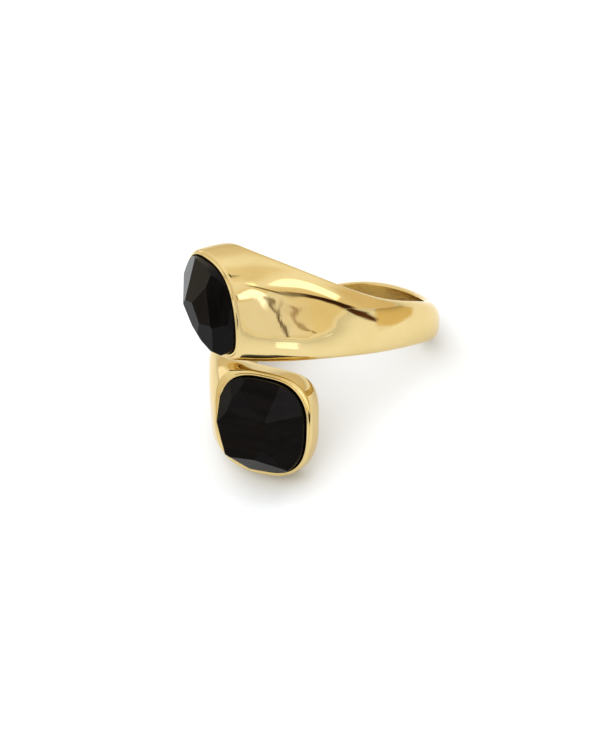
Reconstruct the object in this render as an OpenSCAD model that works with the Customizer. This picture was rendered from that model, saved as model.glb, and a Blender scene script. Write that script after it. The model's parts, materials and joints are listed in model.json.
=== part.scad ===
// Two-stone bypass ring: one cast gold band whose two ends pass each other at the
// front of the finger and open into bezels, each with a faceted cushion stone.
// The ring is modelled round its finger axis, with the back of the shank at +Y,
// and the module at_rest then lays it on its side as it lies by itself.
// The lower half of the band is the upper half given a half turn about the Y axis.

/* [Band] */
// Inside diameter of the band, a US size 7
bore_d = 17.3; // [16.5:0.1:18.5]
// Thickness of the shank at the back of the finger
shank_t = 1.5; // [1.3:0.05:1.9]
// Width of the shank at the back, along the finger
shank_w = 3.5; // [3:0.1:4.2]

/* [Heads] */
// Size of a bezel's rim along the finger
head_w = 9.3; // [8.8:0.1:9.6]
// Size of a bezel's rim along the band
head_l = 9.6; // [9.2:0.1:9.9]
// Distance from the finger axis to the plane of a rim
head_reach = 11.15; // [10.9:0.05:11.4]
// Angle from the back of the shank round to the middle of a head
head_turn = 196.25; // [194:0.25:198]
// How far the top of a rim leans out, in degrees
head_lean = 5; // [0:0.5:6]
// Gap between the two heads where they pass each other
head_gap = 0.2; // [0.1:0.05:0.5]
// Width of the rim round a stone
lip_w = 0.48; // [0.4:0.01:0.6]

/* [Stones] */
// Height of a stone's table above the rim
stone_rise = 2.1; // [1.8:0.1:2.6]
// Depth of a stone below the rim
stone_depth = 1.2; // [0.9:0.05:1.4]
// Clearance between a stone and its seat
seat_gap = 0.03; // [0.02:0.01:0.06]

/* [Rest] */
// How far the finger axis tips when the ring lies on its side, in degrees
rest_tip = -25.03; // [-26:0.01:-24]
// How far the ring then rolls sideways, in degrees
rest_roll = -0.31; // [-1:0.01:1]
// Turn about the vertical that puts the photographed side at the front
rest_turn = -57.85; // [-90:0.05:0]

/* [Hidden] */
bore_r = bore_d / 2;
gold = [0.86, 0.67, 0.30];
onyx = [0.07, 0.07, 0.08];
// Rings in each span of the section table, and points round each ring
span_rings = 6;
ring_points = 40;
// Outline of a head's rim as a superellipse: the higher the power, the squarer
rim_power_up = 2.5;
rim_power_down = 2.9;
rim_round = 0.22;
stone_power = 2.8;
outline_points = 40;
// Facets of the upper stone, each a flat cut through the stone:
// turn: where it faces, from the direction along the band towards the one up the finger
// slope: its angle to the table; edge: how far from the middle it meets the table's plane
// turn, slope, edge
UPPER_FACETS = [
    [34, 17, 0.93],
    [332.5, 17.5, 1.72],
    [97, 24.5, 0.84],
    [132, 29, 1.12],
    [186.5, 31, 1.31],
    [222, 25, 0.93],
    [241, 27, 1.23],
    [256, 34.5, 1.86],
    [21, 41, 2.18],
    [340.5, 50, 2.88],
    [275.5, 54.5, 3.05]];
// The same for the lower stone
LOWER_FACETS = [
    [299.5, 8.5, 0.31],
    [177, 32, 1.47],
    [223, 33.5, 1.77],
    [270.5, 28.5, 1.07],
    [280, 24, 0.88],
    [302, 38, 2.17],
    [318, 39, 2.33],
    [139.5, 23.5, 2.03],
    [19, 60, 3.18],
    [356.5, 64.5, 3.43],
    [70, 62, 3.33],
    [95, 49, 2.63]];
// Brings the laid ring down to the floor, with the middle of its box over the origin
rest_shift = [1.436, 1.529, 5.497];
// Angle at the finger axis that half a rim takes up
rim_half_turn = atan(head_l / 2 / head_reach);
rim_wall = sqrt(pow(head_reach, 2) + pow(head_l / 2, 2)) - bore_r;
head_low = head_gap / 2;
head_high = head_low + head_w;

// Sections of the upper half of the band, from the back of the shank to the rim.
// turn, wall: the outer skin's angle round the finger and its height over the bore
// in_turn, root: the same for the inner side; a root below the bore is bored away
// low, high: the lower and upper edge, measured along the finger
// up_pow, down_pow: how square the upper and lower half of the section are
// lean: how far the section leans out with height, in degrees
// turn, wall, in_turn, root, low, high, up_pow, down_pow, lean
SECTIONS = [
    [0, shank_t, 0, -1.15, -shank_w / 2, shank_w / 2, 2.4, 2.4, 0],
    [35, shank_t - 0.05, 35, -1.15, -1.4, 2.1, 2.1, 3.0, 0],
    [70, shank_t - 0.05, 70, -1.15, 0.6, 4.5, 2.0, 2.8, 0],
    [100, 1.7, 105, -1.05, 1.3, 6.0, 2.0, 2.5, 0],
    [125, 1.85, 140, -0.5, 1.4, 8.6, 2.0, 2.3, 0],
    [145, 1.85, 175, -1.2, 0.7, 9.9, 2.3, 2.3, 0],
    [159, 2.6, 228, -1.1, 0.1, 10.3, 2.6, 2.5, head_lean],
    [head_turn - rim_half_turn, rim_wall, head_turn + rim_half_turn, rim_wall,
        head_low, head_high, rim_power_up, rim_power_down, head_lean]];
LAST = len(SECTIONS) - 1;

// The same section on the other half of the band, after the half turn
function half_turned(s) = [-s[0], s[1], -s[2], s[3], -s[5], -s[4], s[7], s[6], s[8]];

// Row i of the table, carried on past both ends so that the curve can start and stop there
function row(i) = i < 0 ? half_turned(SECTIONS[-i])
    : i > LAST ? 2 * SECTIONS[LAST] - SECTIONS[LAST - 1] : SECTIONS[i];

// Smooth section at place t between the rows, as a uniform cubic B-spline
function smooth(t) =
    let (i = min(floor(t), LAST - 1), f = t - i)
    (pow(1 - f, 3) * row(i - 1) + (3 * pow(f, 3) - 6 * f * f + 4) * row(i)
        + (1 + 3 * f + 3 * f * f - 3 * pow(f, 3)) * row(i + 1) + pow(f, 3) * row(i + 2)) / 6;

function signed_pow(v, p) = sign(v) * pow(abs(v), p);

// Point on a circle round the finger axis, the back of the shank being at turn 0
function round_finger(r, turn) = [r * sin(turn), r * cos(turn)];

// One ring of points on section s, made smaller by inset and moved out by shift
function ring(s, inset = 0, shift = 0) =
    let (outer = round_finger(bore_r + s[1], s[0]),
         inner = round_finger(bore_r + s[3], s[2]),
         half = (outer - inner) / 2,
         along = half / norm(half),
         out = [along[1], -along[0]],
         reach = norm(half) - inset,
         mid_z = (s[4] + s[5]) / 2,
         half_z = (s[5] - s[4]) / 2 - inset)
    [for (k = [0:ring_points - 1])
        let (a = 360 * k / ring_points,
             p = 2 / (sin(a) >= 0 ? s[6] : s[7]),
             z = half_z * signed_pow(sin(a), p),
             flat = (outer + inner) / 2 + along * reach * signed_pow(cos(a), p)
                 + out * (shift + z * tan(s[8])))
        [flat[0], flat[1], mid_z + z]];

// Rings from the back of the shank to the rim, with a bevel that rounds the rim's edge
UPPER_RINGS = concat(
    [for (i = [0:LAST * span_rings - 1]) ring(smooth(i / span_rings))],
    [ring(smooth(LAST), 0, -rim_round), ring(smooth(LAST), rim_round, 0)]);

// A point given the half turn that carries the upper half to the lower half
function turned_over(p) = [-p[0], p[1], -p[2]];

// The same ring on the lower half, in the order that keeps its points in line
function turned_ring(r) = [for (k = [0:ring_points - 1])
    turned_over(r[(ring_points - k) % ring_points])];

module band_blank() {
    count = len(UPPER_RINGS);
    rings = concat([for (i = [count - 1:-1:1]) turned_ring(UPPER_RINGS[i])], UPPER_RINGS);
    points = [for (r = rings) each r];
    sides = [for (i = [0:len(rings) - 2]) for (k = [0:ring_points - 1])
        let (a = i * ring_points + k, b = i * ring_points + (k + 1) % ring_points)
        each [[b + ring_points, b, a], [a + ring_points, b + ring_points, a]]];
    first = [for (k = [0:ring_points - 1]) k];
    last = [for (k = [ring_points - 1:-1:0]) (len(rings) - 1) * ring_points + k];
    polyhedron(points = points, faces = concat(sides, [first, last]), convexity = 6);
}

// Places its children on the plane of the upper rim: x along the band, y up, z outward
module at_upper_head() {
    rotate(-head_turn)
        translate([0, head_reach, (head_low + head_high) / 2])
            rotate([90 + head_lean, 0, 180])
                children();
}

module half_turn() {
    rotate([0, 180, 0]) children();
}

// Outline of a stone, or of its seat with clear added all round
module cushion(clear = 0) {
    half_l = head_l / 2 - lip_w - seat_gap + clear;
    half_w = head_w / 2 / cos(head_lean) - lip_w - seat_gap + clear;
    polygon([for (k = [0:outline_points - 1])
        let (a = 360 * k / outline_points)
        [half_l * signed_pow(cos(a), 2 / stone_power), half_w * signed_pow(sin(a), 2 / stone_power)]]);
}

module seat() {
    floor_z = -stone_depth - seat_gap;
    translate([0, 0, floor_z])
        linear_extrude(height = 2 * stone_depth)
            cushion(seat_gap);
}

module band() {
    color(gold)
        at_rest()
            difference() {
                band_blank();
                cylinder(h = 4 * head_w, d = bore_d, center = true, $fn = 96);
                at_upper_head() seat();
                half_turn() at_upper_head() seat();
            }
}

// Everything outside one flat facet, facing turn and sloping down from the table
module facet_cut(turn, slope, edge) {
    side = 6 * stone_rise;
    rotate(turn)
        translate([edge, 0, stone_rise])
            rotate([0, slope, 0])
                translate([-side, -side, 0])
                    cube([2 * side, 2 * side, side]);
}

module stone(facets) {
    color(onyx)
        difference() {
            translate([0, 0, -stone_depth])
                linear_extrude(height = stone_depth + stone_rise)
                    cushion();
            for (f = facets)
                facet_cut(f[0], f[1], f[2]);
        }
}

module upper_stone() {
    at_rest() at_upper_head() stone(UPPER_FACETS);
}

module lower_stone() {
    at_rest() half_turn() at_upper_head() stone(LOWER_FACETS);
}

// Lays the ring on its side on the floor
module at_rest() {
    translate(rest_shift)
        rotate([rest_tip, rest_roll, rest_turn])
            children();
}

band();
upper_stone();
lower_stone();
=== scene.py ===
import math

import bmesh
import bpy
import numpy as np
from mathutils import Euler, Matrix, Vector
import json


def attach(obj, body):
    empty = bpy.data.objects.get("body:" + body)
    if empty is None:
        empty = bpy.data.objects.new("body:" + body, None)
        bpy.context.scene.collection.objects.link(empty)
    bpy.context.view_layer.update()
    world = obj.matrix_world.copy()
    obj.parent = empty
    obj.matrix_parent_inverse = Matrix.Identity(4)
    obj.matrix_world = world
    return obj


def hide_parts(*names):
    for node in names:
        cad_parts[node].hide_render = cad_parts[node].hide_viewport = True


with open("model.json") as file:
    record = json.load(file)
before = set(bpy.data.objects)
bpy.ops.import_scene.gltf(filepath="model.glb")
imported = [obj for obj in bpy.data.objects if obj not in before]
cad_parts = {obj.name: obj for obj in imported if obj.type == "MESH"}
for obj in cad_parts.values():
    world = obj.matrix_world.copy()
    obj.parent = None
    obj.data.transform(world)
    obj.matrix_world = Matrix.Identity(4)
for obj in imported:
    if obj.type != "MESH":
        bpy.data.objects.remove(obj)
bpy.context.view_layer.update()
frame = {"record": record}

# Sizes are in millimetres, as in the part's source, unless a comment says metres
MM = 0.001

# Band, heads and stones, as in the part's source
BORE_R = frame["record"]["mounts"][0]["dims"]["r_mm"]
SHANK_T = 1.5
SHANK_W = 3.5
HEAD_W = 9.3
HEAD_L = 9.6
HEAD_REACH = 11.15
HEAD_TURN = 196.25
HEAD_LEAN = 5.0
HEAD_LOW = 0.1
HEAD_HIGH = HEAD_LOW + HEAD_W
LIP_W = 0.48
STONE_RISE = 2.1
STONE_DEPTH = 1.2
SEAT_GAP = 0.03
STONE_POWER = 2.8
# Facets of each stone: where it faces, its angle to the table, and how far from the middle
# it meets the table's plane
UPPER_FACETS = (
    (34, 17, 0.93), (332.5, 17.5, 1.72), (97, 24.5, 0.84), (132, 29, 1.12), (186.5, 31, 1.31),
    (222, 25, 0.93), (241, 27, 1.23), (256, 34.5, 1.86), (21, 41, 2.18), (340.5, 50, 2.88),
    (275.5, 54.5, 3.05))
LOWER_FACETS = (
    (299.5, 8.5, 0.31), (177, 32, 1.47), (223, 33.5, 1.77), (270.5, 28.5, 1.07), (280, 24, 0.88),
    (302, 38, 2.17), (318, 39, 2.33), (139.5, 23.5, 2.03), (19, 60, 3.18), (356.5, 64.5, 3.43),
    (70, 62, 3.33), (95, 49, 2.63))

# How the ring lies, in degrees, and where the middle of its bore comes to, in metres
REST_TURNS = (-25.03, -0.31, -57.85)
REST = Euler([math.radians(d) for d in REST_TURNS], "XYZ").to_matrix()
BORE_MIDDLE = Vector(frame["record"]["mounts"][0]["pos_m"])
# The half turn about the Y axis that carries the upper half of the band to the lower half
HALF_TURN = np.array([-1, 1, -1])

RIM_HALF_TURN = math.degrees(math.atan(HEAD_L / 2 / HEAD_REACH))
RIM_WALL = math.hypot(HEAD_REACH, HEAD_L / 2) - BORE_R

# Sections of the upper half of the band, from the back of the shank to the rim, as in the
# part's source but with a squarer lower edge and a flat outer side:
# turn, wall: the outer skin's angle round the finger and its height over the bore
# in_turn, root: the same for the inner side
# low, high: the lower and upper edge, measured along the finger
# up_pow, down_pow: how square the upper and lower half of the section are
# lean: how far the section leans out with height, in degrees
# flat, flat_low, flat_high: how much the outer side is cut flat, and from and to which
# share of the section's half height
# turn, wall, in_turn, root, low, high, up_pow, down_pow, lean, flat, flat_low, flat_high
SECTIONS = np.array([
    [0, SHANK_T, 0, -1.15, -SHANK_W / 2, SHANK_W / 2, 2.4, 2.4, 0, 0, -0.3, 0.3],
    [35, SHANK_T - 0.05, 35, -1.15, -1.4, 2.1, 2.1, 3.0, 0, 0, 0.0, 0.3],
    [70, SHANK_T - 0.05, 70, -1.15, 0.6, 4.5, 2.0, 2.8, 0, 0, 0.1, 0.3],
    [100, 1.7, 105, -1.05, 1.35, 6.0, 2.0, 2.8, 0, 0.5, 0.15, 0.3],
    [125, 1.85, 140, -0.5, 1.55, 8.6, 2.0, 3.8, 0, 1.2, -0.36, 0.46],
    [145, 1.85, 175, -1.2, 0.98, 9.9, 2.3, 4.4, 0, 1.0, -0.45, 0.53],
    [159, 2.6, 228, -1.1, 0.36, 10.3, 2.6, 4.2, HEAD_LEAN, 0.9, -0.36, 0.54],
    [HEAD_TURN - RIM_HALF_TURN, RIM_WALL, HEAD_TURN + RIM_HALF_TURN, RIM_WALL,
     HEAD_LOW, HEAD_HIGH, 2.5, 2.9, HEAD_LEAN, 0, -0.35, 0.75]])
LAST = len(SECTIONS) - 1

# How finely the band is lofted: rings in each span, points round each ring, and the steps
# in which even_angles() measures a section
SPAN_RINGS = 28
RING_POINTS = 192
MEASURE_STEPS = 2880
# Rounding of the bore's edges, how far over the bore it fades out, and rounding of the
# crests over and under the flat outer side
EDGE_ROUND = 0.25
EDGE_FADE = 1.25
CREST_ROUND = 0.15
# How far the fine skin stays inside the CAD model's
SKIN_IN = 0.015

# Profile of the rim, from the head's wall over the lip into the seat:
# share of the way from the rim's outline to the seat, and depth below the rim's plane
RIM_PROFILE = (
    (0.00, 0.50), (0.01, 0.42), (0.04, 0.34), (0.10, 0.27), (0.18, 0.22), (0.28, 0.185),
    (0.38, 0.165), (0.44, 0.15), (0.47, 0.12), (0.49, 0.07), (0.52, 0.03), (0.57, 0.005),
    (0.65, 0.0), (0.75, 0.0), (0.84, 0.01), (0.91, 0.04), (0.96, 0.09), (1.00, 0.20),
    (1.00, 0.40), (1.00, 1.20))


def half_turned(s):
    """The same section on the other half of the band."""
    turn, wall, in_turn, root, low, high, up_pow, down_pow, lean, flat, flat_low, flat_high = s
    return np.array([-turn, wall, -in_turn, root, -high, -low, down_pow, up_pow, lean,
                     flat, -flat_high, -flat_low])


def smooth_sections(t):
    """Sections at places t between the rows of the table, on a cubic B-spline."""
    before = half_turned(SECTIONS[1])
    after = 2 * SECTIONS[LAST] - SECTIONS[LAST - 1]
    rows = np.vstack([before, SECTIONS, after])
    i = np.minimum(np.floor(t).astype(int), LAST - 1)
    f = (t - i)[:, None]
    return ((1 - f) ** 3 * rows[i] + (3 * f ** 3 - 6 * f ** 2 + 4) * rows[i + 1]
            + (1 + 3 * f + 3 * f ** 2 - 3 * f ** 3) * rows[i + 2] + f ** 3 * rows[i + 3]) / 6


def signed_pow(v, p):
    """The power of v's size, with v's sign."""
    return np.sign(v) * np.abs(v) ** p


def round_finger(r, turn):
    """A point on a circle round the finger axis, the back of the shank being at turn 0."""
    turn = np.radians(turn)
    return np.stack([r * np.sin(turn), r * np.cos(turn)], axis=-1)


def flatten_side(x, z, reach, half_z, powers, flat, flat_ends):
    """Cuts the outer side of a section flat between its two crests, and rounds the crests."""
    ends = []
    for share in flat_ends:
        power = powers[0] if share >= 0 else powers[1]
        ends.append((reach * (1 - abs(share) ** power) ** (1 / power), half_z * share))
    (x0, z0), (x1, z1) = ends
    length = math.hypot(x1 - x0, z1 - z0)
    n_x, n_z = (z1 - z0) / length, (x0 - x1) / length
    over = (x - x0) * n_x + (z - z0) * n_z
    cut = flat * (over + np.sqrt(over ** 2 + CREST_ROUND ** 2)) / 2
    return x - cut * n_x, z - cut * n_z


def section_points(s, a):
    """Points at angles a round one section s, in the ring's own frame."""
    turn, wall, in_turn, root, low, high, up_pow, down_pow, lean, flat, *flat_ends = s
    outer, inner = round_finger(BORE_R + wall, turn), round_finger(BORE_R + root, in_turn)
    half = (outer - inner) / 2
    along = half / np.linalg.norm(half)
    out = np.array([along[1], -along[0]])
    reach = np.linalg.norm(half) - SKIN_IN
    half_z = (high - low) / 2 - SKIN_IN
    power = 2 / np.where(np.sin(a) >= 0, up_pow, down_pow)
    x, z = reach * signed_pow(np.cos(a), power), half_z * signed_pow(np.sin(a), power)
    x, z = flatten_side(x, z, reach, half_z, (up_pow, down_pow), flat, flat_ends)
    round_bore = ((outer + inner) / 2 + np.outer(x, along)
                  + np.outer(z * math.tan(math.radians(lean)), out))
    return np.column_stack([round_bore, (low + high) / 2 + z])


def even_angles(s):
    """Angles that space the points of section s evenly along it."""
    fine = np.linspace(0, 2 * np.pi, MEASURE_STEPS + 1)
    steps = np.linalg.norm(np.diff(section_points(s, fine), axis=0), axis=1)
    length = np.concatenate([[0], np.cumsum(steps)])
    return np.interp(np.arange(RING_POINTS) / RING_POINTS * length[-1], length, fine)


def head_axes():
    """Middle of the upper rim, and the directions along the band, up the rim and outward."""
    middle = np.append(round_finger(HEAD_REACH, HEAD_TURN), (HEAD_LOW + HEAD_HIGH) / 2)
    out = np.append(round_finger(1, HEAD_TURN), 0)
    along = np.array([-out[1], out[0], 0])
    lean = math.radians(HEAD_LEAN)
    up = np.array([0, 0, math.cos(lean)]) + out * math.sin(lean)
    return middle, along, up, np.cross(along, up)


def cushion(a, clear=0.0):
    """Outline of a stone at angles a, or of its seat with clear added all round."""
    half_l = HEAD_L / 2 - LIP_W - SEAT_GAP + clear
    half_w = HEAD_W / 2 / math.cos(math.radians(HEAD_LEAN)) - LIP_W - SEAT_GAP + clear
    return np.column_stack([half_l * signed_pow(np.cos(a), 2 / STONE_POWER),
                            half_w * signed_pow(np.sin(a), 2 / STONE_POWER)])


def open_bore(points):
    """Pushes points out of the bore, with its edges rounded."""
    r = np.hypot(points[..., 0], points[..., 1])
    over = r - BORE_R
    round_edge = EDGE_ROUND * np.clip(1 - over / EDGE_FADE, 0, 1)
    new_r = BORE_R + (over + np.sqrt(over ** 2 + round_edge ** 2)) / 2
    pushed = points.copy()
    pushed[..., :2] *= (new_r / r)[..., None]
    return pushed


def shorten_last_span(rings):
    """Spaces the last span again, so that it ends below the rim by the lip's depth."""
    start = (LAST - 1) * SPAN_RINGS
    tail = rings[start:]
    steps = np.linalg.norm(np.diff(tail, axis=0), axis=2)
    to_rim = np.vstack([np.cumsum(steps[::-1], axis=0)[::-1], np.zeros(RING_POINTS)])
    place = np.linspace(0, 1, len(tail))
    shortened = rings.copy()
    for k in range(RING_POINTS):
        stop = np.interp(-RIM_PROFILE[0][1], -to_rim[:, k], place)
        for axis in range(3):
            shortened[start:, k, axis] = np.interp(place * stop, place, tail[:, k, axis])
    return shortened


def lip_rings(rim, wall_end, rim_angles):
    """Rings that follow RIM_PROFILE from the end of the head's wall into the seat."""
    inward = wall_end - rim
    inward /= np.linalg.norm(inward, axis=1)[:, None]
    middle, along, up, out = head_axes()
    seat = cushion(rim_angles, SEAT_GAP)
    seat = middle + seat[:, :1] * along + seat[:, 1:] * up
    rings = []
    for share, depth in RIM_PROFILE[1:]:
        down = inward * (1 - share) - out * share
        rings.append(rim + (seat - rim) * share + down * depth)
    return np.array(rings)


def upper_half():
    """Rings of the band's upper half, from the back of the shank into the seat."""
    sections = smooth_sections(np.linspace(0, LAST, LAST * SPAN_RINGS + 1))
    angles = [even_angles(s) for s in sections]
    whole = np.array([section_points(s, a) for s, a in zip(sections, angles)])
    rings = shorten_last_span(whole)
    return np.concatenate([open_bore(rings), lip_rings(whole[-1], rings[-1], angles[-1])])


def other_half(rings):
    """The same rings given the half turn that makes the lower half."""
    turned = rings * HALF_TURN
    return turned[:, (-np.arange(RING_POINTS)) % RING_POINTS]


def to_row(points):
    """From the ring's own frame in millimetres to the row's frame in metres."""
    return points @ np.array(REST).T * MM + np.array(BORE_MIDDLE)


def new_object(name, data):
    """An object with this data, put in the scene."""
    thing = bpy.data.objects.new(name, data)
    bpy.context.scene.collection.objects.link(thing)
    return thing


def new_piece(name, mesh, slot, *nodes):
    """An object that stands for CAD nodes, which it hides, hung from the root body; the slot is not
    used.
    """
    piece = new_object(name, mesh)
    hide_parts(*nodes)
    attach(piece, "root")
    return piece


def make_band():
    """The band as one closed mesh: rings joined by quads, with a cap on each seat's floor."""
    upper = upper_half()
    rings = np.concatenate([other_half(upper)[:0:-1], upper])
    count, n = len(rings), RING_POINTS
    i, k = np.meshgrid(np.arange(count - 1), np.arange(n), indexing="ij")
    a, b = i * n + k, i * n + (k + 1) % n
    quads = np.stack([a, b, b + n, a + n], axis=-1).reshape(-1, 4)
    first = list(range(n - 1, -1, -1))
    last = [(count - 1) * n + j for j in range(n)]
    mesh = bpy.data.meshes.new("ring_band")
    mesh.from_pydata(to_row(rings.reshape(-1, 3)).tolist(), [], quads.tolist() + [first, last])
    mesh.validate()
    bm = bmesh.new()
    bm.from_mesh(mesh)
    bmesh.ops.recalc_face_normals(bm, faces=bm.faces)
    bm.to_mesh(mesh)
    bm.free()
    mesh.shade_smooth()
    return new_piece("ring_band", mesh, "yellow_metal", "band")


# Stones: points round the outline, the distance within which points are merged, the angle
# in degrees from which an edge is bevelled, and the bevel's width, steps and fullness
STONE_POINTS = 160
MERGE_WITHIN = 0.002
BEVEL_FROM = 6
BEVEL_WIDTH = 0.045
BEVEL_STEPS = 2
BEVEL_PROFILE = 0.6


def stone_blank():
    """A cushion with straight sides and a flat top, in the head's frame."""
    outline = cushion(np.linspace(0, 2 * np.pi, STONE_POINTS, endpoint=False))
    bm = bmesh.new()
    floor = [bm.verts.new((x, y, -STONE_DEPTH)) for x, y in outline]
    top = [bm.verts.new((x, y, STONE_RISE)) for x, y in outline]
    bm.faces.new(floor[::-1])
    bm.faces.new(top)
    for j in range(STONE_POINTS):
        k = (j + 1) % STONE_POINTS
        bm.faces.new((floor[j], floor[k], top[k], top[j]))
    return bm


def cut_facet(bm, turn, slope, edge):
    """Cuts away what lies outside a facet, and closes the cut."""
    turn, slope = math.radians(turn), math.radians(slope)
    facing = Vector((math.cos(turn), math.sin(turn), 0))
    cut = bmesh.ops.bisect_plane(
        bm, geom=bm.verts[:] + bm.edges[:] + bm.faces[:], clear_outer=True,
        plane_co=facing * edge + Vector((0, 0, STONE_RISE)),
        plane_no=facing * math.sin(slope) + Vector((0, 0, math.cos(slope))))
    edges = [e for e in cut["geom_cut"] if isinstance(e, bmesh.types.BMEdge)]
    if edges:
        bmesh.ops.contextual_create(bm, geom=edges)


def bevel_edges(bm):
    """Rounds the edges between a stone's facets a little."""
    sharp = [e for e in bm.edges if len(e.link_faces) == 2
             and e.calc_face_angle() > math.radians(BEVEL_FROM)]
    bmesh.ops.bevel(bm, geom=sharp, offset=BEVEL_WIDTH, segments=BEVEL_STEPS, affect="EDGES",
                    clamp_overlap=True, profile=BEVEL_PROFILE)


def make_stone(name, node, facets, half_turn):
    """A cut stone in the upper head, or in the lower one with the half turn."""
    bm = stone_blank()
    for facet in facets:
        cut_facet(bm, *facet)
    bmesh.ops.remove_doubles(bm, verts=bm.verts, dist=MERGE_WITHIN)
    bmesh.ops.recalc_face_normals(bm, faces=bm.faces)
    bevel_edges(bm)
    mesh = bpy.data.meshes.new(name)
    bm.to_mesh(mesh)
    bm.free()
    numbers = np.zeros(len(mesh.vertices) * 3)
    mesh.vertices.foreach_get("co", numbers)
    middle, along, up, out = head_axes()
    points = middle + numbers.reshape(-1, 3) @ np.array([along, up, out])
    if half_turn:
        points = points * HALF_TURN
    mesh.vertices.foreach_set("co", to_row(points).ravel())
    mesh.update()
    return new_piece(name, mesh, "black_stone", node)


def fill_inputs(owner, node, values):
    """Gives inputs of a node their values, or links them where the value is a socket."""
    for name, value in values.items():
        if isinstance(value, bpy.types.NodeSocket):
            owner.node_tree.links.new(value, node.inputs[name])
        else:
            node.inputs[name].default_value = value


def new_node(owner, kind, values, operation=None):
    """A node of a material or of the world, with its inputs filled."""
    node = owner.node_tree.nodes.new(kind)
    if operation is not None:
        node.operation = operation
    fill_inputs(owner, node, values)
    return node


def vector_math(owner, operation, *values, out="Vector"):
    """What an operation on vectors gives: a vector, or the output named by out."""
    node = new_node(owner, "ShaderNodeVectorMath", dict(enumerate(values)), operation)
    return node.outputs[out]


def math_node(owner, operation, *values):
    """What an operation on numbers gives."""
    node = new_node(owner, "ShaderNodeMath", dict(enumerate(values)), operation)
    return node.outputs["Value"]


def spread(owner, value, span, results, smooth=False):
    """Carries a value from the ends of its span to the ends of the results."""
    node = new_node(owner, "ShaderNodeMapRange",
                    {"Value": value, "From Min": span[0], "From Max": span[1],
                     "To Min": results[0], "To Max": results[1]})
    if smooth:
        node.interpolation_type = "SMOOTHSTEP"
    return node.outputs["Result"]


# The values between which most of Blender's noise lies
NOISE_SPAN = (0.3, 0.7)


def pattern(mat, vector, size, detail, results=(0, 1)):
    """Noise with blobs of that size, spread over the results."""
    noise = new_node(mat, "ShaderNodeTexNoise",
                     {"Vector": vector, "Scale": 1 / (size * MM), "Detail": detail})
    return spread(mat, noise.outputs["Fac"], NOISE_SPAN, results)


def tint(mat, value, dark, light):
    """A colour from dark to light as the value goes from 0 to 1."""
    ramp = new_node(mat, "ShaderNodeValToRGB", {"Fac": value})
    for element, colour in zip(ramp.color_ramp.elements, (dark, light)):
        element.color = (*colour, 1)
    return ramp.outputs["Color"]


def relief(mat, height, depth, under=None):
    """Bump that moves the surface by up to depth, laid over the relief under it if any."""
    inputs = {"Distance": depth * MM, "Height": height}
    if under is not None:
        inputs["Normal"] = under
    return new_node(mat, "ShaderNodeBump", inputs).outputs["Normal"]


def without_part_along(mat, vector, axis, share):
    """The vector with a share of its part along the axis taken away."""
    length = vector_math(mat, "DOT_PRODUCT", vector, axis, out="Value")
    part = new_node(mat, "ShaderNodeVectorMath",
                    {0: [-share * v for v in axis], "Scale": length}, "SCALE")
    return vector_math(mat, "ADD", vector, part.outputs["Vector"])


def new_material(name):
    """A material with Blender's one Principled shader."""
    mat = bpy.data.materials.new(name)
    mat.use_nodes = True
    return mat


def set_shader(mat, values):
    """Sets or links inputs of the material's one shader."""
    fill_inputs(mat, mat.node_tree.nodes["Principled BSDF"], values)


def object_place(mat):
    """The place of each point in the row's frame, in metres."""
    return mat.node_tree.nodes.new("ShaderNodeTexCoord").outputs["Object"]


# Gold: its dark and light tint, the size of their clouds, and its tint at grazing angles
GOLD_DARK = (0.67, 0.515, 0.23)
GOLD_LIGHT = (0.73, 0.575, 0.27)
GOLD_CLOUDS = 3.0
GOLD_GRAZING = (0.97, 0.9, 0.78, 1)
# Its least and most roughness where polished, the size of the patches, the roughness in the
# bore, and the heights over the bore between which that one fades in
GOLD_ROUGH = (0.02, 0.055)
GOLD_PATCHES = 0.9
BORE_ROUGH = 0.3
BORE_FADE = (0.04, 0.01)
# Size and depth of the waves and of the fine scratches that polishing leaves, and the share
# of the way along the finger that the scratches' noise leaves out, which draws them out
WAVE_SIZE, WAVE_DEPTH = 3.0, 0.02
SCRATCH_SIZE, SCRATCH_DEPTH = 0.12, 0.0002
SCRATCH_DRAWN = 0.93


def gold_material():
    """Polished gold with faint clouds, waves and scratches, and satin in the bore."""
    mat = new_material("polished_gold")
    place = object_place(mat)
    finger = REST @ Vector((0, 0, 1))
    clouds = pattern(mat, place, GOLD_CLOUDS, detail=2)
    from_middle = vector_math(mat, "SUBTRACT", place, BORE_MIDDLE)
    across = without_part_along(mat, from_middle, finger, 1.0)
    from_axis = vector_math(mat, "LENGTH", across, out="Value")
    fade_at = [(BORE_R + over) * MM for over in BORE_FADE]
    in_bore = spread(mat, from_axis, fade_at, (0, 1), smooth=True)
    patches = pattern(mat, place, GOLD_PATCHES, detail=4, results=GOLD_ROUGH)
    rough = new_node(mat, "ShaderNodeMix", {"Factor": in_bore, "A": patches, "B": BORE_ROUGH})
    waves = relief(mat, pattern(mat, place, WAVE_SIZE, detail=1), WAVE_DEPTH)
    lines = pattern(mat, without_part_along(mat, place, finger, SCRATCH_DRAWN), SCRATCH_SIZE,
                    detail=3)
    set_shader(mat, {"Metallic": 1.0, "Specular Tint": GOLD_GRAZING,
                     "Base Color": tint(mat, clouds, GOLD_DARK, GOLD_LIGHT),
                     "Roughness": rough.outputs["Result"],
                     "Normal": relief(mat, lines, SCRATCH_DEPTH, under=waves)})
    return mat


# Onyx: black with faint warm grey bands, their size and depth, and the share of the way
# along them that their noise leaves out, which draws them out
ONYX_DARK = (0.0006, 0.0005, 0.0005)
ONYX_BAND = (0.0032, 0.0027, 0.0026)
BAND_SIZE, BAND_DEPTH = 0.7, 0.0012
BAND_DRAWN = 0.9
# How strongly it mirrors and in what tint, its least and most roughness, and the size of
# the patches
ONYX_SHINE = 0.065
ONYX_SHINE_TINT = (1.0, 0.92, 0.95, 1)
ONYX_ROUGH = (0.05, 0.13)
ONYX_PATCHES = 0.8


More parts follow.
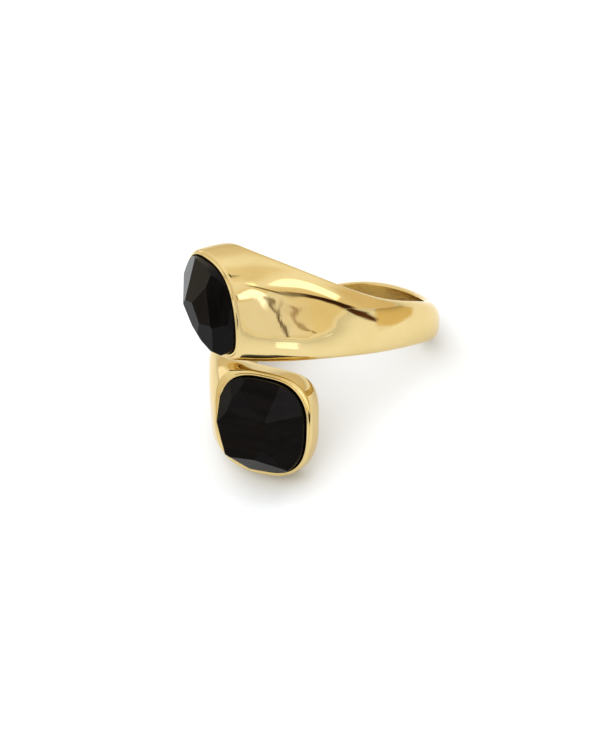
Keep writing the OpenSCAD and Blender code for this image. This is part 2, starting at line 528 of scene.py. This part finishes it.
def onyx_material(name, band_axis):
    """Black onyx whose bands run along an axis."""
    mat = new_material(name)
    place = object_place(mat)
    bands = pattern(mat, without_part_along(mat, place, band_axis, BAND_DRAWN), BAND_SIZE,
                    detail=4)
    patches = pattern(mat, place, ONYX_PATCHES, detail=4, results=ONYX_ROUGH)
    set_shader(mat, {"Specular IOR Level": ONYX_SHINE, "Specular Tint": ONYX_SHINE_TINT,
                     "Base Color": tint(mat, bands, ONYX_DARK, ONYX_BAND),
                     "Roughness": patches, "Normal": relief(mat, bands, BAND_DEPTH)})
    return mat


# The photo's camera in the ring's own frame: its direction from the middle of the bore and
# its roll, in degrees, its distance, and how far the frame's middle is off the bore's
CAMERA_TURN = 43.58
CAMERA_RISE = 22.03
CAMERA_ROLL = 0.63
CAMERA_DISTANCE = 400.0
FRAME_OFF_RIGHT = -2.276
FRAME_OFF_UP = -3.85
# Pixels of the photo for a millimetre at the middle of the bore, the pixels of its long
# side, the sensor's width, and the nearest and farthest that the camera sees, in metres
PHOTO_SCALE = 11.29
PHOTO_LONG_SIDE = 750
SENSOR = 36.0
CAMERA_CLIP = (0.01, 10)


def make_camera():
    """The photo's camera, turned so that its picture frames the ring as the photo does."""
    turn, rise = math.radians(CAMERA_TURN), math.radians(CAMERA_RISE)
    back = np.array([math.cos(turn) * math.cos(rise), -math.sin(turn) * math.cos(rise),
                     math.sin(rise)])
    right = np.array([math.sin(turn), math.cos(turn), 0])
    up = np.cross(back, right)
    roll = math.radians(CAMERA_ROLL)
    right, up = (right * math.cos(roll) - up * math.sin(roll),
                 up * math.cos(roll) + right * math.sin(roll))
    spot = to_row(back * CAMERA_DISTANCE)
    target = to_row(right * FRAME_OFF_RIGHT + up * FRAME_OFF_UP)
    back = (spot - target) / np.linalg.norm(spot - target)
    right = np.cross(up @ np.array(REST).T, back)
    right /= np.linalg.norm(right)
    up = np.cross(back, right)
    data = bpy.data.cameras.new("photo_camera")
    data.sensor_width = SENSOR
    data.lens = PHOTO_SCALE * CAMERA_DISTANCE / PHOTO_LONG_SIDE * SENSOR
    data.clip_start, data.clip_end = CAMERA_CLIP
    camera = new_object("photo_camera", data)
    camera.matrix_world = Matrix([[right[j], up[j], back[j], spot[j]] for j in range(3)]
                                 + [[0, 0, 0, 1]])
    bpy.context.scene.camera = camera
    return camera


# The floor: from its middle to its sides in metres, its colour and its roughness
FLOOR_HALF = 1.5
FLOOR_COLOUR = (0.69, 0.72, 0.77, 1)
FLOOR_ROUGH = 0.6


def make_floor():
    """A pale square under the ring, at the height of 0."""
    mesh = bpy.data.meshes.new("floor")
    corners = [(x * FLOOR_HALF, y * FLOOR_HALF, 0) for x, y in ((-1, -1), (1, -1), (1, 1), (-1, 1))]
    mesh.from_pydata(corners, [], [(0, 1, 2, 3)])
    floor = new_object("floor", mesh)
    mat = new_material("pale_floor")
    set_shader(mat, {"Base Color": FLOOR_COLOUR, "Roughness": FLOOR_ROUGH})
    mesh.materials.append(mat)


# Cards and lights that lie on the floor outside the picture, where the gold mirrors them:
# name, corners from the point under the ring's middle, corners of the solid part inside a
# soft edge (none for a hard edge), colour, and how much it glows; the first lies on top
FLOOR_CARDS = (
    ("brown_card",
     ((25.5, -31), (27, -60), (150, -1000), (450, -1000), (80, -96), (35, -35)),
     ((30, -42), (33, -62), (210, -1000), (330, -1000), (48, -84), (32, -44)),
     (0.07, 0.028, 0.01), 0),
    ("kraft_card",
     ((52, 24), (27, -6), (20.5, -17), (18, -26), (21, -36), (60, -66), (300, -215),
      (1450, -480), (1450, 200), (200, 110)),
     ((60, 14), (35, -5), (27, -17), (25, -27), (30, -35), (72, -54), (310, -160),
      (1400, -300), (1400, 150), (210, 80)),
     (0.55, 0.45, 0.26), 0),
    ("light_panel",
     ((-27, -37.5), (-34, -50), (-46, -71), (-68, -110), (-72, -155), (-57, -121), (-39, -79),
      (-28, -56), (-20, -38)),
     ((-26, -40), (-32.5, -52), (-44, -74), (-62, -112), (-64, -128), (-54, -112), (-38, -74),
      (-29, -55), (-22.5, -41)),
     (0.8, 0.9, 1.0), 0.5),
    ("light_strip",
     ((-112, -160), (-112, -200), (-100, -222), (-79, -236), (-50, -236), (-20, -190),
      (-26, -172), (-50, -210), (-74, -212), (-88, -200), (-98, -170)),
     (), (0.8, 0.9, 1.0), 0.3),
    ("far_board",
     ((-1400, -90), (-130, -90), (-135, -200), (-125, -262), (-60, -264), (0, -210), (22, -130),
      (42, -200), (150, -1400), (-1400, -1400)),
     ((-1390, -200), (-220, -200), (-220, -300), (-170, -360), (-80, -370), (0, -330),
      (40, -300), (60, -330), (140, -1390), (-1390, -1390)),
     (0.7, 0.69, 0.66), 0.4))
# How far each card lies over the one below it, and the roughness of them all
CARD_RISE = 0.05
CARD_ROUGH = 0.7


def card_mesh(name, corners, inner, rise):
    """A flat card whose attribute "solid" fades from its inner corners to its outer ones."""
    count = len(corners)
    faces = [tuple(range(count))]
    for j in range(len(inner)):
        k = (j + 1) % count
        faces.append((j, k, count + k, count + j))
    mesh = bpy.data.meshes.new(name)
    mesh.from_pydata([(x * MM, y * MM, rise * MM) for x, y in inner + corners], [], faces)
    solid = mesh.attributes.new("solid", "FLOAT", "POINT")
    for i, value in enumerate(solid.data):
        value.value = 0.0 if inner and i >= count else 1.0
    return mesh


def card_material(name, colour, glow):
    """A matt card that fades out with its attribute "solid"."""
    mat = new_material(name)
    solid = mat.node_tree.nodes.new("ShaderNodeAttribute")
    solid.attribute_name = "solid"
    alpha = spread(mat, solid.outputs["Fac"], (0, 1), (0, 1), smooth=True)
    set_shader(mat, {"Base Color": (*colour, 1), "Roughness": CARD_ROUGH,
                     "Specular IOR Level": 0.0, "Emission Color": (*colour, 1),
                     "Emission Strength": glow, "Alpha": alpha})
    return mat


def make_floor_cards():
    """Lays the cards; they neither shade nor light the floor, so that no rim shows."""
    for number, (name, corners, inner, colour, glow) in enumerate(reversed(FLOOR_CARDS)):
        mesh = card_mesh(name, corners, inner, CARD_RISE * (number + 1))
        card = new_object(name, mesh)
        mesh.materials.append(card_material(name, colour, glow))
        card.visible_shadow = False
        card.visible_diffuse = False


# Softboxes round the ring make a pool of light on the floor, and the metal doesn't mirror
# them: how many, their height, distance from the middle and side in metres, their spread in
# degrees, and their watts
POOL_LIGHTS = 5
POOL_HEIGHT = 0.15
POOL_OFF = 0.10
POOL_SIZE = 0.16
POOL_SPREAD = 90.0
POOL_POWER = 0.019


def make_pool():
    """Softboxes evenly spaced on a circle, each facing the origin."""
    for i in range(POOL_LIGHTS):
        turn = 2 * math.pi * i / POOL_LIGHTS
        data = bpy.data.lights.new("softbox", "AREA")
        data.size = POOL_SIZE
        data.energy = POOL_POWER
        data.spread = math.radians(POOL_SPREAD)
        light = new_object("softbox", data)
        light.location = (POOL_OFF * math.cos(turn), POOL_OFF * math.sin(turn), POOL_HEIGHT)
        light.rotation_euler = (-light.location).to_track_quat("-Z", "Y").to_euler()
        light.visible_camera = False
        light.visible_glossy = False


# The studio's lights and dark cards, as directions from the ring seen from the camera:
# azimuth (0 behind the camera, to the right positive) and elevation of the middle, roll,
# half length and half width in degrees, softness of the edge, colour, and how solid it is
PANELS = (
    ("warm wall right", 95, 20, 0, 60, 30, 0.6, (0.93, 0.76, 0.5), 0.9),
    ("warm wall left", -42, 40, 0, 18, 25, 0.6, (1.0, 0.87, 0.62), 0.7),
    ("low warm wall", 10, -25, 0, 45, 14, 0.5, (1.06, 0.92, 0.66), 0.9),
    ("low warm card", 14, -38, 0, 24, 7, 0.2, (1.08, 0.97, 0.72), 0.9),
    ("low white wall", -38, -37, 0, 21, 9, 0.25, (1.12, 1.1, 1.1), 1.0),
    ("main light", 4, 0.5, -29, 24, 12, 0.15, (2.2, 2.3, 2.2), 1.0),
    ("side light", -29, -25, -62, 12.5, 1.5, 0.15, (1.9, 2.0, 2.4), 1.0),
    ("small side light", -33, 4, -75, 7, 1.6, 0.3, (1.9, 1.85, 1.6), 1.0),
    ("dark edge of the side light", -25, -17.5, -57, 17, 1.5, 0.4, (0.12, 0.08, 0.04), 0.9),
    ("dark cable", -20.7, -34.8, -47, 5.2, 0.45, 0.5, (0.2, 0.15, 0.08), 0.9),
    ("dark cable's end", -16, -41.5, 90, 4, 0.45, 0.5, (0.15, 0.1, 0.05), 0.9),
    ("brown cable", -8, -40.7, -28, 4.5, 0.4, 0.5, (0.35, 0.2, 0.1), 0.8),
    ("dark strip", 14, -28, 8, 24, 4.5, 0.35, (0.05, 0.02, 0.01), 1.0),
    ("left light", -134, 22, 0, 7, 12, 0.3, (1.38, 1.38, 1.42), 1.0),
    ("dark card for the lower stone", -51, 30, 0, 6, 5, 0.5, (0.04, 0.03, 0.02), 1.0),
    ("dark card for the upper stone", -48, -21, 0, 5, 4, 0.5, (0.3, 0.25, 0.15), 1.0),
    ("light end", 140, 2, 0, 14, 9, 0.2, (1.5, 1.45, 1.3), 1.0))
# The soft tent behind them: sine of the angle over the horizon, and colour
TENT = ((0.0, (0.85, 0.75, 0.56)), (0.25, (1.0, 0.93, 0.79)), (0.6, (1.2, 1.18, 1.14)),
        (1.0, (1.28, 1.27, 1.27)))
# A panel ends where it would wrap round behind the ring: the cosines to its middle between
# which it fades out there, and the least cosine that is divided by
PANEL_ENDS = (0.1, 0.0)
LEAST_COSINE = 0.02


def camera_direction(camera, azimuth, elevation):
    """A direction in the row's frame from its two angles as the camera sees them."""
    az, el = math.radians(azimuth), math.radians(elevation)
    seen = Vector((math.sin(az) * math.cos(el), math.sin(el), math.cos(az) * math.cos(el)))
    return camera.matrix_world.to_3x3() @ seen


def panel_axes(camera, azimuth, elevation, roll):
    """Middle, long axis and short axis of a panel, as directions in the row's frame."""
    middle = camera_direction(camera, azimuth, elevation)
    up = camera.matrix_world.to_3x3() @ Vector((0, 1, 0))
    along = up.cross(middle).normalized()
    across = middle.cross(along)
    turn = math.radians(roll)
    return (middle, along * math.cos(turn) + across * math.sin(turn),
            across * math.cos(turn) - along * math.sin(turn))


def panel_mask(world, direction, axes, half_sizes, soft, solid):
    """How solid a panel is in a direction: solid on it, nothing off it, faded at its edge."""
    facing, along, across = [vector_math(world, "DOT_PRODUCT", direction, axis, out="Value")
                             for axis in axes]
    forward = math_node(world, "MAXIMUM", facing, LEAST_COSINE)
    mask = spread(world, facing, PANEL_ENDS, (1, 0), smooth=True)
    for off_middle, half in zip((along, across), half_sizes):
        reach = math.tan(math.radians(half))
        edge = (reach * (1 - soft), reach * (1 + soft))
        off = math_node(world, "ABSOLUTE", math_node(world, "DIVIDE", off_middle, forward))
        inside = spread(world, off, edge, (1, 0), smooth=True)
        mask = math_node(world, "MULTIPLY", mask, inside)
    return math_node(world, "MULTIPLY", mask, solid)


def make_world(camera):
    """The tent with the panels laid over it, each over those before it."""
    world = bpy.data.worlds.new("studio")
    world.use_nodes = True
    nodes = world.node_tree.nodes
    direction = nodes.new("ShaderNodeTexCoord").outputs["Generated"]
    height = vector_math(world, "DOT_PRODUCT", direction, (0, 0, 1), out="Value")
    tent = new_node(world, "ShaderNodeValToRGB", {"Fac": height})
    for place, colour in TENT[1:-1]:
        tent.color_ramp.elements.new(place)
    for element, (place, colour) in zip(tent.color_ramp.elements, TENT):
        element.position = place
        element.color = (*colour, 1)
    colour_so_far = tent.outputs["Color"]
    for name, az, el, roll, half_long, half_wide, soft, colour, solid in PANELS:
        axes = panel_axes(camera, az, el, roll)
        mask = panel_mask(world, direction, axes, (half_long, half_wide), soft, solid)
        mix = new_node(world, "ShaderNodeMixRGB",
                       {"Fac": mask, "Color1": colour_so_far, "Color2": (*colour, 1)})
        mix.label = name
        colour_so_far = mix.outputs["Color"]
    fill_inputs(world, nodes["Background"], {"Color": colour_so_far})
    bpy.context.scene.world = world


def make_ring():
    """The band and the two stones; the onyx is banded up the upper one and along the lower."""
    gold = gold_material()
    make_band().data.materials.append(gold)
    _, along, up, _ = head_axes()
    for name, node, facets, half_turn, bands in (
            ("cut_stone_upper", "upper_stone", UPPER_FACETS, False, up),
            ("cut_stone_lower", "lower_stone", LOWER_FACETS, True, along * HALF_TURN)):
        stone = make_stone(name, node, facets, half_turn)
        stone.data.materials.append(onyx_material(name + "_onyx", REST @ Vector(bands)))


make_ring()
camera = make_camera()
make_floor()
make_floor_cards()
make_pool()
make_world(camera)
bpy.context.scene.view_settings.view_transform = "Standard"
